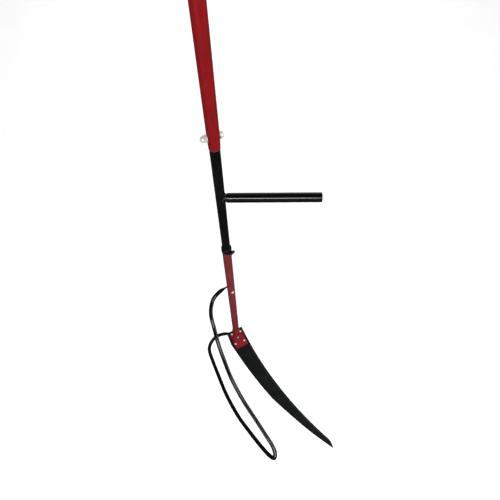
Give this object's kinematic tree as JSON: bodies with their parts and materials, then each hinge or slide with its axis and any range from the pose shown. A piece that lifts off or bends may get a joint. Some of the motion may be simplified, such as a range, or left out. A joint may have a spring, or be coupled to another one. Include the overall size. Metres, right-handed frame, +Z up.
{
  "type": "long-handled harvesting scythe",
  "caption": "Long tubular harvesting scythe: two-part pole with side grip, curved blade riveted to a foot plate, and a bent-rod bow guard beside the blade.",
  "frame": {"origin": "on the pole's axis, in the underside of the blade", "axes": "+Z up the pole, +X along the side grip, -Y towards the blade's tip and the bow's end"},
  "size_m": [0.4685, 0.5095, 1.52],
  "materials": {
    "handle_paint": "satin powder coat",
    "shaft_paint": "gloss black paint",
    "grip_vinyl": "smooth glossy vinyl",
    "plug_plastic": "moulded, matt",
    "zinc": "bright zinc plate",
    "clamp_paint": "satin black",
    "dark_screw": "black oxide",
    "head_paint": "satin powder coat, duller red",
    "plate_paint": "gloss paint",
    "blade_coat": "dark rust-proof coat",
    "guard_paint": "gloss black enamel"
  },
  "bodies": {
    "handle": {"handle_tube": "handle_paint", "handle_end_plug": "plug_plastic", "shaft_tube": "shaft_paint", "side_grip_core": "shaft_paint", "side_grip_sleeve": "grip_vinyl", "side_grip_weld": "shaft_paint", "handle_bolt": "zinc", "handle_bolt_washers": "zinc", "handle_cap_nut": "zinc"},
    "clamp": {"clamp_collar": "clamp_paint", "clamp_washer": "dark_screw", "clamp_nut": "dark_screw"},
    "clamp_screw": {"clamp_screw": "dark_screw"},
    "head": {"lower_tube": "head_paint", "foot_weld": "head_paint", "mounting_plate": "plate_paint", "blade": "blade_coat", "blade_rivets": "zinc", "centre_rivet": "zinc", "guard_foot_rivet": "zinc", "guard_rod": "guard_paint", "guard_bolt": "zinc", "guard_bolt_washer": "zinc", "guard_nut": "zinc"}
  },
  "joints": [
    {"name": "length_adjust", "type": "slide", "parent": "handle", "child": "clamp", "axis": [0, 0, 1], "range_m": [-0.05, 0.05]},
    {"name": "head_turn", "type": "hinge", "parent": "clamp", "child": "head", "pos_m": [0, 0, 0.6], "axis": [0, 0, 1], "continuous": true},
    {"name": "clamp_screw_turn", "type": "hinge", "parent": "clamp", "child": "clamp_screw", "pos_m": [0.01494, -0.01253, 0.677], "axis": [0.6428, 0.766, 0], "continuous": true}
  ]
}
